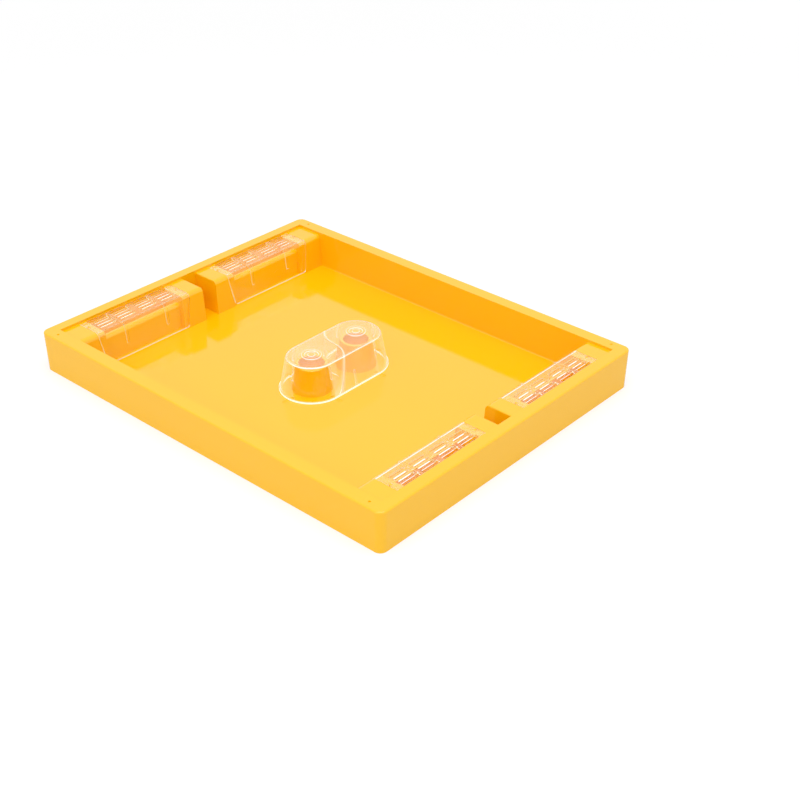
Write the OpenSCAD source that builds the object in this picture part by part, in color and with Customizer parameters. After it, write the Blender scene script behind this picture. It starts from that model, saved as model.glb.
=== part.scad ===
// Hive top feeder: a shallow moulded syrup tray that sits on a hive body.
// Bees come up through a slot behind each weir at the two short ends, or through
// the two cones in the middle. Four clear guards cover the weirs and one clear
// cover stands over both cones, and all five lift straight out.
// Millimetres. X runs along the long side, Y across it and Z up, and the origin
// is the middle of the underside.

/* [Tray] */
// Length of the tray along X
tray_l = 505; // [480:1:530]
// Width of the tray along Y
tray_w = 405; // [390:1:430]
// Height from the underside to the rim
tray_h = 47; // [46:0.5:54]
// Thickness of the moulded walls
wall = 2.2; // [1.8:0.1:2.8]
// Thickness of the syrup floor, whose underside lies level with the tray's
floor_t = 2.2; // [1.8:0.1:3]
// How far each outer side leans in towards the underside
side_lean = 1; // [0.5:0.1:2]
// Radius of the upright corners at the rim
corner_r = 9; // [7:0.5:12]
// Rounding of the rim's outer edge
rim_edge_r = 2; // [1:0.25:2.5]
// Width of the rim along the long sides
rim_side_w = 16.5; // [14:0.5:20]
// Width of the rim along the short ends
rim_end_w = 14; // [12:0.5:18]
// How far each inner wall leans in towards the floor
basin_lean = 0.4; // [0.2:0.1:1.5]
// Rounding between the floor and the inner walls
floor_r = 1.5; // [0.5:0.25:3]
// Thickness of the webs inside the hollow rim
web_t = 2; // [1.5:0.1:3]
// Diameter of the round dimples near the corners of the rim
dimple_d = 3; // [2:0.25:4]
// Depth of the dimples
dimple_depth = 0.8; // [0.4:0.1:1.2]
// Distance of the dimples from the tray's ends
dimple_end = 21.5; // [15:0.5:30]

/* [End blocks] */
// How far the top of the end blocks lies below the rim
block_drop = 3; // [2:0.25:5]
// Depth of a block from the end wall, along its top
block_depth = 35.5; // [34:0.25:40]
// How much further the foot of a block's front reaches than its top
block_slope = 2.6; // [1:0.2:5]
// Rounding of the front edge of a block's top
block_edge_r = 6; // [4:0.25:8]
// Width of the gap between the two blocks of an end, at the top
gap_w = 20.6; // [16:0.2:26]
// How much each side of that gap leans in towards the floor
gap_lean = 0.8; // [0.4:0.1:3]
// Rounding of the top edges of that gap
gap_edge_r = 1.5; // [0.5:0.25:2.5]

/* [Weir] */
// Height of the weir's crest above the underside
weir_z = 33; // [30:0.5:37]
// Thickness of the weir wall
weir_t = 2.5; // [2:0.1:3]
// Depth of the weir's rolled crest from front to back
crest_w = 5.5; // [5:0.25:7]
// Share of the crest's depth that its front rounding takes
crest_round_share = 0.87; // [0.75:0.01:0.92]
// Least clear way for bees between a guard and the weir
bee_way = 6; // [5:0.25:8]
// Width of the ledge that carries each end of a guard
ledge_w = 9.5; // [7:0.25:12]
// How much each side of the opening leans in towards the floor
opening_lean = 1.5; // [0.5:0.25:3]

/* [Guards] */
// Length of a guard along Y
guard_w = 130.5; // [122:0.5:138]
// Share of a block's spare length that lies between the gap and its guard
guard_start_share = 0.45; // [0.4:0.01:0.5]
// Thickness of the clear guards
guard_t = 2; // [1.5:0.1:2.5]
// How much each side of a guard's front narrows towards its foot
guard_taper = 6.2; // [2:0.2:8]
// How far the foot of a guard stands out from the front of its block
guard_out = 2.4; // [1:0.2:3]
// Rounding of the lower corners of a guard
guard_corner_r = 3.5; // [2:0.25:6]
// Gap between the back edge of a guard and the end wall
guard_back_gap = 2.5; // [1.5:0.25:4]
// Gap under the foot of a guard, where the syrup comes in
guard_foot_gap = 2.8; // [1:0.2:4]
// Width of the ventilation slots
slot_w = 2.6; // [2:0.1:3.2]
// Length of the ventilation slots
slot_l = 21.5; // [16:0.5:23]
// Distance from one row of slots to the next
slot_pitch = 6; // [5:0.25:6.5]
// Depth of the row of windows behind the slots
window_depth = 4.4; // [3:0.2:4.8]
// Width of the bar that closes those windows along the back edge
back_bar_w = 1.6; // [1:0.1:2.4]
// Distance of the two hoop ribs from the middle of a guard
hoop_y = 29; // [27:0.25:31]
// Width of a hoop rib
hoop_w = 3.5; // [2.5:0.25:4.5]
// Height of a hoop rib above the guard
hoop_h = 0.8; // [0.5:0.1:1.2]
// How far the hoop ribs run down the front, measured from the top
hoop_drop = 24; // [12:0.5:32]
// Width of the bar in the middle of a guard's grille
mid_bar_w = 6; // [4:0.25:8]
// Diameter of the pegs that locate a guard
peg_d = 3.4; // [2.6:0.1:3.6]
// Distance of a peg from the guard's end
peg_end = 3.2; // [3:0.1:4]
// Distance of a peg from the guard's back edge
peg_back = 12; // [9:0.25:15]

/* [Cones] */
// Distance between the axes of the two cones
cone_pitch = 70; // [64:0.5:80]
// Height of the cones' tops above the underside
cone_z = 33; // [28:0.5:35]
// Outer diameter of a cone at the floor
cone_foot_d = 44; // [40:0.5:48]
// Outer diameter of a cone at its top
cone_top_d = 36; // [34:0.5:39]
// Diameter of the hole in a cone's top
cone_hole_d = 28; // [24:0.5:29]
// Rounding of a cone's top edges
cone_edge_r = 1; // [0.5:0.1:1.2]

/* [Centre cover] */
// Width of the cover at its foot, over the lip
cover_foot_w = 72.6; // [70:0.2:78]
// Width of the cover at its top
cover_top_w = 56; // [52:0.5:62]
// Height of the cover
cover_h = 40; // [38:0.1:41]
// Thickness of the clear cover
cover_t = 1.8; // [1.4:0.1:2.2]
// Rounding of the cover's top edge
cover_edge_r = 3; // [2.4:0.1:4]
// Height of the lip round the cover's foot
lip_h = 1.8; // [1:0.1:2.5]
// How far the lip stands out from the cover
lip_out = 0.8; // [0.4:0.1:1.2]
// Thickness of the S-shaped partition inside the cover
partition_t = 1.6; // [1.2:0.1:2.4]
// Gap between the partition's foot and the floor
partition_gap = 1.2; // [0.8:0.1:2]
// Width of the ribs inside the cover
rib_w = 1.6; // [1.2:0.1:2.4]
// Depth of those ribs at the cover's wall
rib_depth = 1.8; // [1:0.1:2.5]
// How far the ribs run down from the cover's top
rib_drop = 19; // [12:0.5:26]
// Height of the two ribs that stand at the foot of the cover's straight sides
low_rib_h = 18; // [12:0.5:24]
// Outer diameter of the round ring on the cover above each cone
ring_d = 22; // [18:0.5:26]
// Width of that ring
ring_w = 3.5; // [2:0.25:4.5]
// Diameter of the round button inside that ring
button_d = 8.5; // [6:0.25:8.75]
// Height of the ring and the button
ring_h = 0.9; // [0.5:0.1:1.2]
// Width of the floor's grooves that let syrup in under the cover's lip
groove_w = 5; // [4:0.25:6]
// Length of those grooves
groove_l = 16.5; // [12:0.5:19]
// Depth of those grooves
groove_depth = 1.3; // [0.8:0.1:1.4]

/* [Fits] */
// Gap between a loose piece and its seat
fit_gap = 0.3; // [0.25:0.05:0.4]

/* [Hidden] */
$fn = 64;

tray_colour = [0.99, 0.76, 0.17];
clear_colour = [0.96, 0.9, 0.82, 0.45];

// Each cut runs this far past the faces that it opens
overrun = 2;
// Angle between a side and the arc that rounds it off
kink = 1.5;

// Inner faces of the basin at the rim
basin_x = tray_l / 2 - rim_end_w;
basin_y = tray_w / 2 - rim_side_w;

// Front face of the blocks: its place at the top and its lean per unit of height
block_z = tray_h - block_drop;
front_x = basin_x - block_depth;
front_lean = block_slope / (block_z - floor_t);

// Where a guard sits on its block
spare_l = basin_y - gap_w / 2 - guard_w;
guard_y = gap_w / 2 + spare_l * guard_start_share + guard_w / 2;
guard_back = basin_x - guard_back_gap;
guard_foot = floor_t + guard_foot_gap;
guard_lean = front_lean + guard_out / (block_z - guard_foot);
pocket_depth = guard_t + fit_gap;
opening_w = guard_w - 2 * ledge_w;
chimney_back = basin_x - basin_lean;
block_skin = pocket_depth + wall;

// The grille: rows of slots ahead of a row of windows, in groups split by the hoops
slot_rows = 3;
window_front = guard_back - back_bar_w - window_depth;
group_in_y = (mid_bar_w / 2 + hoop_y - hoop_w / 2) / 2;
group_out_y = (hoop_y + hoop_w / 2 + opening_w / 2) / 2;
window_in_w = hoop_y - hoop_w / 2 - mid_bar_w / 2;
window_out_w = opening_w / 2 - hoop_y - hoop_w / 2;

// Underside of a loose piece that stands on the floor, and the cover's own heights
cover_base = floor_t + fit_gap;
cover_top = cover_base + cover_h;
cover_foot_r = cover_foot_w / 2 - lip_out;
cover_top_r = cover_top_w / 2;
cover_lean = (cover_foot_r - cover_top_r) / cover_h;
cover_ratio = sqrt(1 + cover_lean * cover_lean);

// Radius of the floor's hollow grooves
groove_r = (groove_w * groove_w / 4 + groove_depth * groove_depth) / (2 * groove_depth);

// Webs of the hollow rim, counted along a long side and along an end
side_webs = 6;
end_webs = 5;

function unit(v) = v / norm(v);
function half_angle(a, b, c) = acos(unit(a - b) * unit(c - b)) / 2;
function round_start(a, b, c, r) = b + unit(a - b) * r / tan(half_angle(a, b, c));
function round_centre(a, b, c, r) =
    b + unit(unit(a - b) + unit(c - b)) * r / sin(half_angle(a, b, c));

// Places of the inner walls, the outer sides and the block fronts at a height
function basin_in(z) = basin_lean * (tray_h - z) / (tray_h - floor_t);
function side_in(z) = side_lean * (tray_h - z) / tray_h;
function front_at(z, inset = 0, lean = front_lean) =
    front_x - lean * (block_z - z) + inset * sqrt(1 + lean * lean);
function cover_r(z, inset) = cover_foot_r - cover_lean * (z - cover_base) - inset * cover_ratio;

// What a rounding takes off a corner: the kite between the corner and the arc's
// centre, past the arc. The arc meets each side at the small angle of the kink.
module corner_bit(before, corner, after, r) {
    centre = round_centre(before, corner, after, r);
    from = round_start(before, corner, after, r) - centre;
    to = round_start(after, corner, before, r) - centre;
    translate(centre) difference() {
        polygon([[0, 0], from * 2, (corner - centre) * 2, to * 2]);
        circle(r / cos(kink));
    }
}

// A polygon with convex corners rounded by true arcs
module rounded_poly(points, radii) {
    n = len(points);
    difference() {
        polygon(points);
        for (i = [0:n - 1])
            if (radii[i] > 0)
                corner_bit(points[(i + n - 1) % n], points[i], points[(i + 1) % n], radii[i]);
    }
}

// Sections drawn in X and Z run along Y, and sections in Y and Z run along X
module along_y(length) rotate([90, 0, 0]) linear_extrude(length, center = true) children();
module along_x(length) rotate([90, 0, 90]) linear_extrude(length, center = true) children();

// One copy at each corner, turned the way that the corner faces
module at_corners() {
    for (end = [0, 1], side = [0, 1])
        mirror([end, 0, 0]) mirror([0, side, 0]) children();
}

// Half a section of the tray's outer form, drawn in by a wall, from the axis of
// the corners' rounding outwards
module outer_edge(inset, base) {
    top = tray_h - inset;
    reach = corner_r - inset;
    rounded_poly(
        [[0, base], [reach - side_in(base), base], [reach - side_in(top), top], [0, top]],
        [0, 0, inset > 0 ? 0 : rim_edge_r, 0]
    );
}

module outer_form(inset = 0, base = 0) {
    core_l = tray_l - 2 * corner_r;
    core_w = tray_w - 2 * corner_r;
    translate([-core_l / 2, -core_w / 2, base]) cube([core_l, core_w, tray_h - inset - base]);
    for (side = [0, 1]) {
        mirror([side, 0, 0]) translate([core_l / 2, 0, 0]) along_y(core_w) outer_edge(inset, base);
        mirror([0, side, 0]) translate([0, core_w / 2, 0]) along_x(core_l) outer_edge(inset, base);
    }
    at_corners()
        translate([core_l / 2, core_w / 2, 0]) rotate_extrude(angle = 90) outer_edge(inset, base);
}

// The space inside the inner walls, from a base upwards, grown by a wall
module basin_section(half, grow, base, edge) {
    low = half + grow - basin_in(base);
    high = half + grow - basin_in(tray_h + overrun);
    rounded_poly(
        [[-low, base], [low, base], [high, tray_h + overrun], [-high, tray_h + overrun]],
        [edge, edge, 0, 0]
    );
}

module basin_form(grow, base, edge = 0) {
    intersection() {
        along_y(tray_w) basin_section(basin_x, grow, base, edge);
        along_x(tray_l) basin_section(basin_y, grow, base, edge);
    }
}

// Section of an end block, drawn in by an inset square to its faces
module block_fill(inset = 0, base = 0, lean = front_lean) {
    top = block_z - inset;
    back = basin_x + wall / 2;
    foot_x = front_at(base, inset, lean);
    top_x = front_at(top, inset, lean);
    rounded_poly(
        [[back, base], [foot_x, base], [top_x, top], [back, top]],
        [0, 0, block_edge_r - inset, 0]
    );
}

module block() {
    low = gap_w / 2 - gap_lean;
    side = basin_y + wall / 2;
    base = floor_t / 2;
    intersection() {
        along_y(tray_w) block_fill(0, base);
        along_x(tray_l) rounded_poly(
            [[low, base], [side, base], [side, block_z], [gap_w / 2, block_z]],
            [0, 0, 0, gap_edge_r]
        );
    }
}

// Hollows that the mould leaves under the two closed parts of a block
module block_hollows() {
    inner_from = gap_w / 2 + wall;
    inner_to = guard_y - opening_w / 2 - wall;
    outer_from = guard_y + opening_w / 2 + wall;
    outer_to = basin_y - basin_lean;
    intersection() {
        along_y(tray_w) intersection() {
            block_fill(block_skin, -overrun);
            translate([0, -overrun]) square([chimney_back, block_z]);
        }
        for (span = [[inner_from, inner_to], [outer_from, outer_to]])
            translate([0, span[0], -overrun]) cube([tray_l, span[1] - span[0], tray_h]);
    }
}

// The weir's own section, which leans like the front of the block and rolls over
// at its crest
module weir_section() {
    crest_r = crest_w * crest_round_share;
    difference() {
        weir_form(0, -2 * overrun, crest_r);
        weir_form(weir_t, -3 * overrun, crest_r - weir_t, overrun);
    }
}

// The weir's outer form, or the hollow behind it when drawn in by its thickness
module weir_form(inset, base, edge, grow = 0) {
    top = weir_z - inset;
    back = front_at(weir_z, guard_t) + bee_way + crest_w + grow;
    foot = front_at(base, guard_t + inset) + bee_way;
    crest = front_at(top, guard_t + inset) + bee_way;
    rounded_poly([[back, base], [foot, base], [crest, top], [back, top]], [0, 0, edge, 0]);
}

// The opening in a block: the bees' way in front of the weir, the way over its
// crest and the chimney behind it, which is open to the hive below
module opening() {
    half = opening_w / 2;
    chimney_from = front_at(0, guard_t + weir_t / 2) + bee_way;
    difference() {
        intersection() {
            union() {
                along_y(tray_w) intersection() {
                    block_fill(-overrun, floor_t);
                    square([chimney_back, tray_h]);
                }
                along_y(tray_w) polygon([
                    [chimney_from, -overrun],
                    [chimney_back, -overrun],
                    [chimney_back, floor_t + overrun],
                    [chimney_from, floor_t + overrun]
                ]);
            }
            translate([0, guard_y, 0]) along_x(2 * tray_l) polygon([
                [-half + opening_lean, -overrun],
                [half - opening_lean, -overrun],
                [half, tray_h],
                [-half, tray_h]
            ]);
        }
        along_y(tray_w * 2) weir_section();
    }
}

// Outline of a guard seen along X, grown by a gap for the pocket that holds it
module guard_outline(foot, grow = 0) {
    bend = block_z - block_edge_r;
    high = guard_w / 2 + grow;
    low = high - guard_taper * (bend - foot) / (bend - guard_foot);
    top = tray_h + overrun;
    rounded_poly(
        [[-low, foot], [low, foot], [high, bend], [high, top], [-high, top], [-high, bend]],
        [guard_corner_r, guard_corner_r, 0, 0, 0, 0]
    );
}

// The shallow seat that lets a guard lie flush with its block
module guard_pocket() {
    intersection() {
        along_y(tray_w) difference() {
            block_fill(-overrun, floor_t);
            block_fill(pocket_depth, floor_t - overrun);
            translate([guard_back + fit_gap, 0]) square([tray_l, tray_h]);
        }
        translate([0, guard_y, 0])
            along_x(2 * tray_l) guard_outline(floor_t - guard_corner_r, fit_gap);
    }
}

module at_pegs() {
    for (side = [-1, 1])
        translate([guard_back - peg_back, guard_y + side * (guard_w / 2 - peg_end), 0]) children();
}

module pegs() {
    ledge = block_z - pocket_depth;
    at_pegs() translate([0, 0, ledge - wall / 2])
        cylinder(d = peg_d, h = wall / 2 + pocket_depth - fit_gap);
}

// Webs that tie the outer side to the inner wall inside the hollow rim
module webs() {
    intersection() {
        union() {
            for (i = [1:side_webs])
                translate([(i / (side_webs + 1) - 1 / 2) * tray_l, 0, tray_h / 2 + floor_t])
                    cube([web_t, tray_w, tray_h], center = true);
            for (i = [1:end_webs])
                translate([0, (i / (end_webs + 1) - 1 / 2) * tray_w, tray_h / 2 + floor_t])
                    cube([tray_l, web_t, tray_h], center = true);
        }
        outer_form(wall / 2);
    }
}

// One moulded cone with a holed top, open below
module cone_wall() {
    foot_r = cone_foot_d / 2;
    top_r = cone_top_d / 2;
    hole_r = cone_hole_d / 2;
    under_r = top_r + (foot_r - top_r) * wall / (cone_z - floor_t) - wall;
    rotate_extrude() rounded_poly(
        [
            [foot_r - wall, 0],
            [foot_r, 0],
            [foot_r, floor_t],
            [top_r, cone_z],
            [hole_r, cone_z],
            [hole_r, cone_z - wall],
            [under_r, cone_z - wall]
        ],
        [0, 0, 0, cone_edge_r, cone_edge_r, 0, 0]
    );
}

module at_cones() {
    for (turn = [0, 180])
        rotate(turn) translate([0, -cone_pitch / 2, 0]) children();
}

// A slot with round ends, drawn in plan
module slot_shape(length, width) {
    straight = length - width;
    square([width, straight], center = true);
    for (side = [-1, 1]) translate([0, side * straight / 2]) circle(d = width);
}

// A groove in the floor that passes square under the cover's lip, hollow across
// and round at its ends
module groove() {
    end_share = 1.2;
    translate([cover_foot_w / 2, 0, 0]) intersection() {
        translate([0, 0, floor_t - groove_depth + groove_r]) rotate([0, 90, 0])
            cylinder(r = groove_r, h = tray_l, center = true);
        rotate(90) linear_extrude(tray_h) slot_shape(groove_l, groove_w * end_share);
    }
}

module tray() {
    color(tray_colour) {
        difference() {
            union() {
                difference() {
                    outer_form();
                    basin_form(0, floor_t, floor_r);
                    difference() {
                        outer_form(wall, -overrun);
                        basin_form(wall, -2 * overrun);
                    }
                }
                difference() {
                    webs();
                    basin_form(wall / 2, -overrun);
                }
                at_corners() block();
            }
            at_corners() {
                block_hollows();
                opening();
                guard_pocket();
                translate([tray_l / 2 - dimple_end, tray_w / 2 - rim_side_w / 2, tray_h - dimple_depth])
                    cylinder(d = dimple_d, h = dimple_depth + overrun);
            }
            at_cones() translate([0, 0, -overrun]) cylinder(d = cone_foot_d - wall, h = tray_h);
            at_cones() for (turn = [0, 180, 270]) rotate(turn) groove();
        }
        at_corners() pegs();
        at_cones() cone_wall();
    }
}

// The holes of a guard's top in plan: slots, windows and the peg holes
module grille_holes() {
    for (side = [-1, 1]) {
        for (y = [group_in_y, group_out_y], row = [0:slot_rows - 1])
            translate([window_front - slot_pitch * (row + 1 / 2), side * y])
                slot_shape(slot_l, slot_w);
        translate([window_front, side * group_in_y - window_in_w / 2])
            square([window_depth, window_in_w]);
        translate([window_front, side * group_out_y - window_out_w / 2])
            square([window_depth, window_out_w]);
        translate([guard_back - peg_back, side * (guard_w / 2 - peg_end)])
            circle(d = peg_d + 2 * fit_gap);
    }
}

// A clear guard: a bent plate with a grille on top and two hoop ribs outside
module guard() {
    color(clear_colour) translate([0, guard_y, 0]) {
        difference() {
            intersection() {
                along_y(tray_w) difference() {
                    block_fill(0, 0, guard_lean);
                    block_fill(guard_t, -overrun, guard_lean);
                    translate([guard_back, 0]) square([tray_l, tray_h]);
                }
                along_x(2 * tray_l) guard_outline(guard_foot);
            }
            translate([0, 0, block_z - block_edge_r]) linear_extrude(tray_h) grille_holes();
        }
        for (side = [-1, 1])
            translate([0, side * hoop_y, 0]) along_y(hoop_w) difference() {
                block_fill(-hoop_h, 0, guard_lean);
                block_fill(guard_t / 2, -overrun, guard_lean);
                translate([guard_back, 0]) square([tray_l, tray_h]);
                square([tray_l, block_z - hoop_drop]);
            }
    }
}

module guard_left_front() mirror([1, 0, 0]) mirror([0, 1, 0]) guard();
module guard_left_back() mirror([1, 0, 0]) guard();
module guard_right_front() mirror([0, 1, 0]) guard();
module guard_right_back() guard();

// The cover's form: two round ends joined by straight sides, drawn in by an inset
// and raised at its top
module cover_form(inset, base, edge = 0, rise = 0) {
    top = cover_top - inset + rise;
    low = cover_r(base, inset);
    high = cover_r(top, inset);
    along_y(cone_pitch) rounded_poly(
        [[-low, base], [low, base], [high, top], [-high, top]],
        [0, 0, edge, edge]
    );
    at_cones() rotate_extrude() rounded_poly(
        [[0, base], [low, base], [high, top], [0, top]],
        [0, 0, edge, 0]
    );
}

// The lip round the cover's foot, as two round ends joined by straight bars
module lip() {
    lip_r = cover_foot_w / 2;
    at_cones() translate([0, 0, cover_base]) cylinder(r = lip_r, h = lip_h);
    translate([0, 0, cover_base + lip_h / 2])
        cube([2 * lip_r, cone_pitch, lip_h], center = true);
}

// Half of the S-shaped partition: an arc round one cone
module partition_arc() {
    arc_r = cone_pitch / 2;
    base = floor_t + partition_gap;
    intersection() {
        translate([0, 0, base]) difference() {
            cylinder(r = arc_r + partition_t / 2, h = tray_h);
            translate([0, 0, -overrun]) cylinder(r = arc_r - partition_t / 2, h = tray_h + 2 * overrun);
        }
        cube(tray_l);
    }
}

// Short ribs on the inside of the cover: hanging ones at its ends and beside each
// cone, and a standing one in the middle of each straight side
module cover_ribs() {
    inset = cover_t + rib_depth;
    difference() {
        union() {
            at_cones() for (turn = [0, 180, 270]) rotate(turn)
                translate([0, -rib_w / 2, cover_top - rib_drop]) cube([tray_l, rib_w, tray_h]);
            translate([0, 0, cover_base]) cube([tray_l, rib_w, 2 * low_rib_h], center = true);
        }
        cover_form(inset, cover_base - overrun, 0, inset);
    }
}

module centre_cover() {
    color(clear_colour) {
        difference() {
            union() {
                cover_form(0, cover_base, cover_edge_r);
                lip();
            }
            difference() {
                cover_form(cover_t, cover_base - overrun, cover_edge_r - cover_t);
                at_cones() partition_arc();
                cover_ribs();
            }
        }
        at_cones() translate([0, 0, cover_top]) {
            difference() {
                cylinder(d = ring_d, h = ring_h);
                translate([0, 0, -overrun])
                    cylinder(d = ring_d - 2 * ring_w, h = ring_h + 2 * overrun);
            }
            cylinder(d = button_d, h = ring_h);
        }
    }
}

tray();
guard_left_front();
guard_left_back();
guard_right_front();
guard_right_back();
centre_cover();
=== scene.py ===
# %% [markdown]
# # A hive top feeder
# The feeder is a shallow yellow syrup tray that stands on a hive. A clear bent guard covers each of
# its four weirs, and one clear cover stands over the two cones in the middle.
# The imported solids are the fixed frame. Their shapes are already right, so this lesson gives them
# their plastics, the studio and the camera.

# %% Load the frame
from math import radians

import bpy
from mathutils import Matrix

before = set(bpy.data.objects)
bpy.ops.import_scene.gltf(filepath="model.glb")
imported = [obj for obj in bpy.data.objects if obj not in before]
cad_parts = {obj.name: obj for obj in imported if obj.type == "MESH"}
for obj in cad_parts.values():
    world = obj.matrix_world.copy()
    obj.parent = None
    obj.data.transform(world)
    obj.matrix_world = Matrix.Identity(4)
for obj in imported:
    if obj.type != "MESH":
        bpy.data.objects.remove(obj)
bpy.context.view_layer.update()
print("nodes:", ", ".join(sorted(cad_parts)))

# %% [markdown]
# ## The camera
# The photograph looks down at the tray past its near corner. A camera fitted to the tray's corners
# gave the lens, the place and the three turns. Turning about Z, then X, then the line of sight
# keeps each of the three readable, which one Euler triple would hide.

# %% Place the camera
CAMERA_PLACE = (0.9153, -0.9341, 0.7832)  # metres
CAMERA_HEADING = 41.235  # degrees about Z
CAMERA_LOOKS_DOWN = 31.917  # degrees below level
CAMERA_ROLL = 0.415  # degrees about the line of sight

camera_data = bpy.data.cameras.new("photo_camera")
camera_data.sensor_width = 36
camera_data.lens = 61.83
camera = bpy.data.objects.new("photo_camera", camera_data)
camera.matrix_world = (
    Matrix.Translation(CAMERA_PLACE)
    @ Matrix.Rotation(radians(CAMERA_HEADING), 4, "Z")
    @ Matrix.Rotation(radians(90 - CAMERA_LOOKS_DOWN), 4, "X")
    @ Matrix.Rotation(radians(CAMERA_ROLL), 4, "Z")
)
bpy.context.scene.collection.objects.link(camera)
bpy.context.scene.camera = camera
print("camera at", tuple(round(v, 3) for v in camera.location))

# %% [markdown]
# ## Shader maths as sums
# A finish is a small sum of noises and masks. Written as nodes that is hard to read, so one class
# wraps a socket: adding or multiplying two of them adds the Math node, and `node` adds any other
# node. `ramp` and `blend` are the two that come up most.

# %% A socket that does sums
class Wire:
    def __init__(self, tree, socket):
        self.tree = tree
        self.socket = socket

    def node(self, kind, settings=None, output=0, **inputs):
        """Adds a node. An input is named, or numbered as i0, i1 and so on."""
        made = self.tree.nodes.new("ShaderNode" + kind)
        for name, value in (settings or {}).items():
            setattr(made, name, value)
        for name, value in inputs.items():
            key = int(name[1:]) if name[1:].isdigit() else name.replace("_", " ")
            if isinstance(value, Wire):
                self.tree.links.new(value.socket, made.inputs[key])
            else:
                made.inputs[key].default_value = value
        return Wire(self.tree, made.outputs[output])

    def sum(self, operation, first, second=0.0):
        return self.node("Math", {"operation": operation}, i0=first, i1=second)

    def ramp(self, start, end, low=0.0, high=1.0):
        """Runs smoothly from low to high while this socket runs from start to end."""
        return self.node(
            "MapRange",
            {"interpolation_type": "SMOOTHSTEP"},
            Value=self, From_Min=start, From_Max=end, To_Min=low, To_Max=high,
        )

    def blend(self, first, second):
        """Runs from the first colour to the second while this socket runs from 0 to 1."""
        return self.node("Mix", {"data_type": "RGBA"}, output=2, i0=self, i6=first, i7=second)

    def __add__(self, other):
        return self.sum("ADD", self, other)

    def __sub__(self, other):
        return self.sum("SUBTRACT", self, other)

    def __rsub__(self, other):
        return self.sum("SUBTRACT", other, self)

    def __mul__(self, other):
        return self.sum("MULTIPLY", self, other)

    def __pow__(self, other):
        return self.sum("POWER", self, other)

    def __abs__(self):
        return self.sum("ABSOLUTE", self)

    __radd__ = __add__
    __rmul__ = __mul__


def new_finish(name):
    """A material, its Principled shader, and the Object coordinates to draw on."""
    material = bpy.data.materials.new(name)
    material.use_nodes = True
    tree = material.node_tree
    shader = tree.nodes["Principled BSDF"]
    place = tree.nodes.new("ShaderNodeTexCoord")
    return material, shader, Wire(tree, place.outputs["Object"])


def feed(shader, **links):
    """Links each wire to the input that it is named for."""
    for name, wire in links.items():
        wire.tree.links.new(wire.socket, shader.inputs[name.replace("_", " ")])


def light_path(tree, *kinds):
    """One socket for each kind of ray or depth that is named."""
    path = tree.nodes.new("ShaderNodeLightPath")
    return [Wire(tree, path.outputs[kind]) for kind in kinds]


print("socket sums ready")

# %% [markdown]
# ## Yellow moulded plastic
# The tray is one injection moulding in a glossy amber yellow. Its floor mirrors the walls at a low
# angle, so it is smooth, but not perfect: the melt leaves slow drifts of colour, and a mould's
# polish leaves a faint ripple and a fine grain. Three noises at those three scales give that, and
# each is kept weak, because the gloss is what the eye reads first.

# %% Mix the yellow
AMBER_DEEP = (0.985, 0.515, 0.001, 1.0)
AMBER_PALE = (0.995, 0.542, 0.002, 1.0)

yellow, shader, here = new_finish("yellow_moulding")
drift = here.node("TexNoise", Vector=here, Scale=5.0, Detail=2.0, Roughness=0.5)
ripple = here.node("TexNoise", Vector=here, Scale=55.0, Detail=2.0, Roughness=0.45)
grain = here.node("TexNoise", Vector=here, Scale=1600.0, Detail=3.0, Roughness=0.6)
bump = here.node("Bump", Strength=0.03, Distance=0.0004, Height=ripple * 0.1 + grain * 0.3)
feed(
    shader,
    Base_Color=drift.blend(AMBER_DEEP, AMBER_PALE),
    Roughness=0.05 + ripple * 0.03 + grain * 0.03,
    Normal=bump,
)
shader.inputs["IOR"].default_value = 1.62
print("yellow finish:", len(yellow.node_tree.nodes), "nodes")

# %% [markdown]
# ## Where clear plastic shows painted highlights
# Guards and cover are clear styrene mouldings. A flat plate of it hardly shows. Light that is
# caught inside comes out where the surface turns, so every edge reads as a thin white line, which
# here is a painted highlight. A normal that is averaged over a small radius leaves the true one
# only near an edge, so the angle between the two finds the edges, with no line drawn by hand. An
# edge that is turned away sends its light elsewhere, so the painted highlight's share falls off
# with Layer Weight.

# %% Find the edges
def facing_share(here, **normal):
    """1 where the surface faces the eye, falling to 0 where it is seen edge on."""
    turned = here.node("LayerWeight", output="Facing", Blend=0.5, **normal)
    return (1.0 - turned) ** 2.0


def edge_highlight_share(here, radius):
    """The averaged normal, and a painted highlight share: 0 on a plate, most at an edge that faces
    the eye.
    """
    soft = here.node("Bevel", {"samples": 6}, Radius=radius)
    sharp = here.node("NewGeometry", output="Normal")
    dot = {"operation": "DOT_PRODUCT"}
    same = here.node("VectorMath", dot, output="Value", i0=soft, i1=sharp)
    return soft, (1.0 - same) * facing_share(here, Normal=soft)


print("edge finder ready")

# %% [markdown]
# ## The cover's painted highlights
# More painted highlights whiten the cover. The outer face of its thick lip and the rounded edge of
# its top get painted highlights for the light they catch. The partition meets the plates along an
# S, where the plastic sinks; a painted highlight marks the S, and the edge highlights are weaker at
# its corners. The straight sides get a faint painted sheen, and a wall seen at a low angle is paler
# by a painted reflection. Turning left fine rings round each cone's axis on the mould of the top,
# drawn as painted highlights, and the raised rings have painted bright rims. Each is drawn from
# where it lies on the part, so it stays put when the cover is lifted off. First come the places, in
# metres, on the cover itself.

# %% Measure the cover
CONE_Y = 0.035  # the cones' axes, and the radius of the partition's arcs
LIP_FACE = 0.0363  # the lip's outer face, from the middle line
COVER_TOP = 0.0425
BROW = COVER_TOP - 0.0008  # the middle of the top's rounded edge
RING_EDGES = (0.011, 0.0075, 0.00425)  # the raised ring and the button in it
WALL_FOOT = 0.0345  # inside the thickness of the outer walls, if they ran on down to z = 0
WALL_LEAN = 0.1875  # how far the walls lean in for each metre of height


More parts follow.
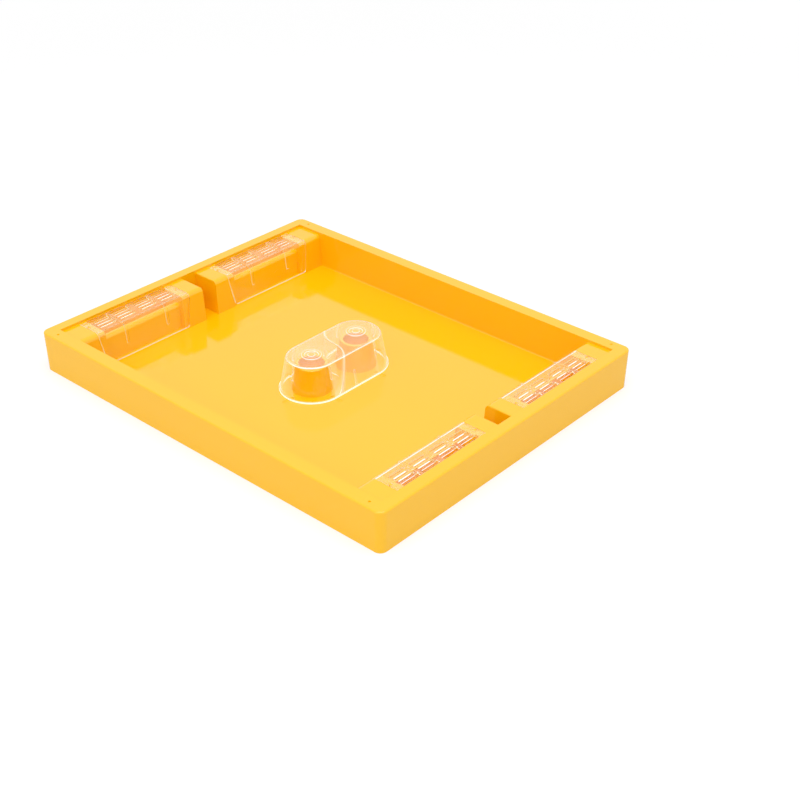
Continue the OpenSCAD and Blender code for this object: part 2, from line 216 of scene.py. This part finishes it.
class CoverPlace:
    """Where a point of the cover lies, as shares from 0 to 1 and distances."""

    def __init__(self, here):
        x, y, z = (here.node("SeparateXYZ", output=axis, Vector=here) for axis in "XYZ")
        beyond = abs(y) - CONE_Y
        past = here.sum("MAXIMUM", beyond, 0.0)
        outward = (x * x + past * past) ** 0.5
        self.from_axis = (x * x + beyond * beyond) ** 0.5
        self.straight = beyond.ramp(0.001, -0.001)
        self.lip = outward.ramp(LIP_FACE - 0.0003, LIP_FACE - 0.0001)
        self.wall = (outward + z * WALL_LEAN).ramp(WALL_FOOT - 0.001, WALL_FOOT)
        self.top = z.ramp(COVER_TOP - 0.002, COVER_TOP - 0.001)
        self.raised = z.ramp(COVER_TOP, COVER_TOP + 0.0004)
        self.brow = abs(z - BROW).ramp(0.0006, 0.0002)
        self.arc_side = here.sum("GREATER_THAN", here.sum("SIGN", y) * x * -1.0)


print("cover's lip at", LIP_FACE, "m and top at", COVER_TOP, "m")

# %% [markdown]
# ## How strong each painted highlight is
# A painted highlight's share is how much of the glowing white it mixes in. The lip's highlight is
# nearly white, and the fine rings on the top hardly show. The guards have only painted highlights
# on their edges and a pale painted highlight along the foot.

# %% Draw the painted highlights
TURNING_RATE = 1500.0  # radians for each metre from the axis: one fine ring each 4.2 mm
GUARD_FOOT = 0.005  # the height of the guards' feet


def partition_highlights(place):
    """The painted highlight along the S where the partition meets the plates, and the wider band of
    its corners, where edge highlights are dimmed.
    """
    off_arc = abs(place.from_axis - CONE_Y)
    on_side = place.arc_side * place.straight
    return off_arc.ramp(0.0013, 0.0005) * on_side, off_arc.ramp(0.004, 0.0025) * on_side


def ring_highlights(here, place):
    """Painted highlights on the fine rings that turning left and on the rims of the raised rings.
    """
    away = place.from_axis
    waves = (here.sum("SINE", away * TURNING_RATE) * 0.5 + 0.5) ** 3.0
    turning = waves * away.ramp(0.014, 0.03, 0.09, 0.02) * away.ramp(0.011, 0.0125)
    rims = sum(abs(away - radius).ramp(0.0008, 0.0002) for radius in RING_EDGES)
    return turning, rims


def cover_highlights(here, edge_highlight):
    place = CoverPlace(here)
    seam, corner = partition_highlights(place)
    turning, rims = ring_highlights(here, place)
    sheen_noise = here.node("TexNoise", Vector=here, Scale=30.0, Detail=2.0, Roughness=0.5)
    turned = here.node("LayerWeight", output="Facing", Blend=0.5)
    low_angle = turned**2.0

    # Painted highlights: the edges, the lip's outer face, the top's rounded brow, the rims of the
    # raised rings, the fine turned rings and the partition's S.
    edge_highlights = edge_highlight * (3.0 - corner * 2.8)
    lip = place.lip * 0.95
    brow = place.brow * facing_share(here) * 0.8
    rings = place.raised * rims * 0.5 + place.top * turning
    partition = seam * (place.top * 0.20 + place.wall * 0.10)
    # Painted sheen on the straight sides, varied by noise, and a painted reflection that pales
    # walls seen at a low angle.
    haze_and_sheen = place.straight * (0.02 + sheen_noise * 0.06) + low_angle * 0.2
    side_sheen = (1.0 - place.top) * place.wall * haze_and_sheen
    return edge_highlights + lip + brow + rings + partition + side_sheen


def guard_highlights(here, edge_highlight):
    # Painted highlights on the guards: their edges, and a pale line along the foot.
    z = here.node("SeparateXYZ", output="Z", Vector=here)
    foot = z.ramp(GUARD_FOOT + 0.0006, GUARD_FOOT)
    return edge_highlight * 0.6 + foot * 0.35


print("marks of cover and guards ready")

# %% [markdown]
# ## Clear moulded plastic
# Real transmission shows the yellow through the plates and bends it at ribs, lips and slots. A
# slow ripple keeps the plates from looking like float glass. The painted highlights mix in a white
# with a weak painted glow, which stands for the light caught in the plate: it is purer on the
# cover, and a little grey and pink on the guards, which lie close over the yellow.

# %% Mix the clear plate and its painted highlight
CLEAR_WARM = (0.985, 0.975, 0.965, 1.0)
CLEAR_PURE = (0.995, 0.990, 0.985, 1.0)
STRONGEST_HIGHLIGHT = 0.95


def clear_plate(shader, here):
    haze_and_sheen = here.node("TexNoise", Vector=here, Scale=30.0, Detail=2.0, Roughness=0.5)
    flow = here.node("TexNoise", Vector=here, Scale=70.0, Detail=1.0, Roughness=0.4)
    bump = here.node("Bump", Strength=0.06, Distance=0.0004, Height=flow)
    feed(
        shader,
        Base_Color=haze_and_sheen.blend(CLEAR_WARM, CLEAR_PURE),
        Roughness=0.02 + haze_and_sheen * 0.03,
        Normal=bump,
    )
    shader.inputs["Transmission Weight"].default_value = 1.0
    shader.inputs["IOR"].default_value = 1.45
    return Wire(here.tree, shader.outputs[0])


def glowing_highlight_white(here, soft, colour, glow):
    # Painted highlight: a white that the lamps light, plus a painted glow for light caught in the
    # plate.
    pale = here.node("BsdfDiffuse", Color=colour, Normal=soft)
    caught_light = here.node("Emission", Color=colour, Strength=glow)
    return here.node("AddShader", i0=pale, i1=caught_light)


print("plate and cloud ready")

# %% [markdown]
# ## Light that the plates catch
# Light that is mirrored more often than a render follows would end black, so it ends in a painted
# glow in the colour of the warm light that the yellow tray sends up, and paler where the cover is
# only seen as a mirror image on the tray's floor. Lamps and bounced light pass straight through, as
# they do through thin styrene.

# %% Put the clear plastic together
MIRROR_IMAGE = (1.0, 0.920, 0.820, 1.0)
SENT_UP = (1.0, 0.690, 0.320, 1.0)
FILM = (0.990, 0.985, 0.980, 1.0)


def clear_finish(name, painted_highlights, highlight_colour, glow, radius, bounces):
    """A clear plastic with painted highlights. Light mirrored more than bounces times in it counts
    as caught and ends in a painted glow.
    """
    clear, shader, here = new_finish(name)
    plate = clear_plate(shader, here)
    soft, edge_highlight = edge_highlight_share(here, radius)
    highlight_share = here.sum("MINIMUM", painted_highlights(here, edge_highlight), STRONGEST_HIGHLIGHT)
    highlight = glowing_highlight_white(here, soft, highlight_colour, glow)

    shadow, bounced = light_path(here.tree, "Is Shadow Ray", "Is Diffuse Ray")
    mirrored, crossed = light_path(here.tree, "Glossy Depth", "Transmission Depth")
    inside = here.sum("MINIMUM", crossed, 1.0)
    caught = here.sum("GREATER_THAN", mirrored - inside, bounces)
    # Painted glow standing for the tray's warm light, paler in the cover's mirror image on the
    # floor.
    painted_tray_glow = here.node("Emission", Color=inside.blend(MIRROR_IMAGE, SENT_UP), Strength=0.95)
    film = here.node("BsdfTransparent", Color=FILM)

    ended = here.node("MixShader", i0=caught, i1=plate, i2=painted_tray_glow)
    seen = here.node("MixShader", i0=highlight_share, i1=ended, i2=highlight)
    lit = here.node("MixShader", i0=shadow, i1=seen, i2=film)
    whole = here.node("MixShader", i0=bounced, i1=lit, i2=film)
    feed(here.tree.nodes["Material Output"], Surface=whole)
    print(name, "finish:", len(here.tree.nodes), "nodes")
    return clear


clear_cover = clear_finish(
    "clear_cover",
    cover_highlights,
    highlight_colour=(0.985, 0.975, 0.965, 1.0),
    glow=0.45,
    radius=0.0005,
    bounces=0.5,
)
clear_guard = clear_finish(
    "clear_guard",
    guard_highlights,
    highlight_colour=(0.900, 0.800, 0.780, 1.0),
    glow=0.2,
    radius=0.0004,
    bounces=1.5,
)

# %% [markdown]
# ## Dress the solids
# The tray takes the yellow, the cover its own clear plastic, and the four guards share one. Each
# solid keeps its mesh, so only its material slots change.

# %% Dress the solids
for name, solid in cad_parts.items():
    if name == "tray":
        finish = yellow
    elif name == "centre_cover":
        finish = clear_cover
    else:
        finish = clear_guard
    solid.data.materials.clear()
    solid.data.materials.append(finish)
    print(name, "->", finish.name)

# %% [markdown]
# ## The studio floor
# The photograph is a cut-out on white. The floor here is a grey sheet that glows, as a light table
# does, so it reaches white and keeps the tray's shadow. Gloss sees less of that glow, so that the
# tray's sides are not bleached. The table glows more under the tray, so light comes up through the
# chimneys and the cones, and more far off, where the lamps no longer reach.

# %% Lay the floor
TABLE_GREY = (0.45, 0.45, 0.45, 1.0)
TABLE_GLOW = 0.55
GLOW_UNDER_TRAY = 0.3
UNDER_REACH = (0.240, 0.190)  # half the length and width of the patch under the tray
UNDER_FADE = 0.004
GLOW_FAR_OFF = 0.15
FAR_OFF = (1.0, 3.0)  # how far off this glow starts, and is whole
LOST_IN_GLOSS = 0.28

bpy.ops.object.select_all(action="DESELECT")
bpy.ops.mesh.primitive_plane_add(size=14)
floor = bpy.context.object
floor.name = "studio_floor"

paper = bpy.data.materials.new("studio_paper")
paper.use_nodes = True
paper.node_tree.nodes.remove(paper.node_tree.nodes["Principled BSDF"])
(glossy_ray,) = light_path(paper.node_tree, "Is Glossy Ray")
place = glossy_ray.node("TexCoord", output="Object")
x, y = (place.node("SeparateXYZ", output=axis, Vector=place) for axis in "XY")
under_x, under_y = (
    abs(along).ramp(reach, reach - UNDER_FADE) for along, reach in zip((x, y), UNDER_REACH)
)
under = under_x * under_y
far = ((x * x + y * y) ** 0.5).ramp(*FAR_OFF)
table_light = TABLE_GLOW + under * GLOW_UNDER_TRAY + far * GLOW_FAR_OFF
matt = place.node("BsdfDiffuse", Color=TABLE_GREY)
glow = place.node("Emission", Color=table_light - glossy_ray * LOST_IN_GLOSS)
feed(
    paper.node_tree.nodes["Material Output"],
    Surface=place.node("AddShader", i0=matt, i1=glow),
)
floor.data.materials.append(paper)
print("floor:", tuple(round(v, 1) for v in floor.dimensions))

# %% [markdown]
# ## The studio light
# The light is even and soft, and stronger from above. A white world gives the even part. One broad
# lamp overhead and a weak one in front give the rest, and make the front a little lighter than the
# right-hand side. The world is pure white only where the camera, gloss or clear plastic sees it.

# %% Light the studio
WORLD_LIGHT = 0.68

world = bpy.data.worlds.new("studio_white")
world.use_nodes = True
background = world.node_tree.nodes["Background"]
background.inputs["Color"].default_value = (1.0, 1.0, 1.0, 1.0)
seen = sum(light_path(world.node_tree, "Is Camera Ray", "Is Glossy Ray", "Is Transmission Ray"))
feed(background, Strength=WORLD_LIGHT + seen * (1.0 - WORLD_LIGHT))
bpy.context.scene.world = world


def soft_lamp(name, place, size, energy):
    """A round lamp that faces the middle of the tray."""
    data = bpy.data.lights.new(name, "AREA")
    data.shape = "DISK"
    data.size = size
    data.energy = energy
    lamp = bpy.data.objects.new(name, data)
    lamp.location = place
    lamp.rotation_euler = lamp.location.to_track_quat("Z", "Y").to_euler()
    bpy.context.scene.collection.objects.link(lamp)
    print(name, energy, "W")


soft_lamp("top_lamp", place=(0.5, -0.3, 2.6), size=2.4, energy=38)
soft_lamp("front_lamp", place=(0.2, -2.1, 1.8), size=1.6, energy=9)
bpy.context.scene.view_settings.view_transform = "Standard"
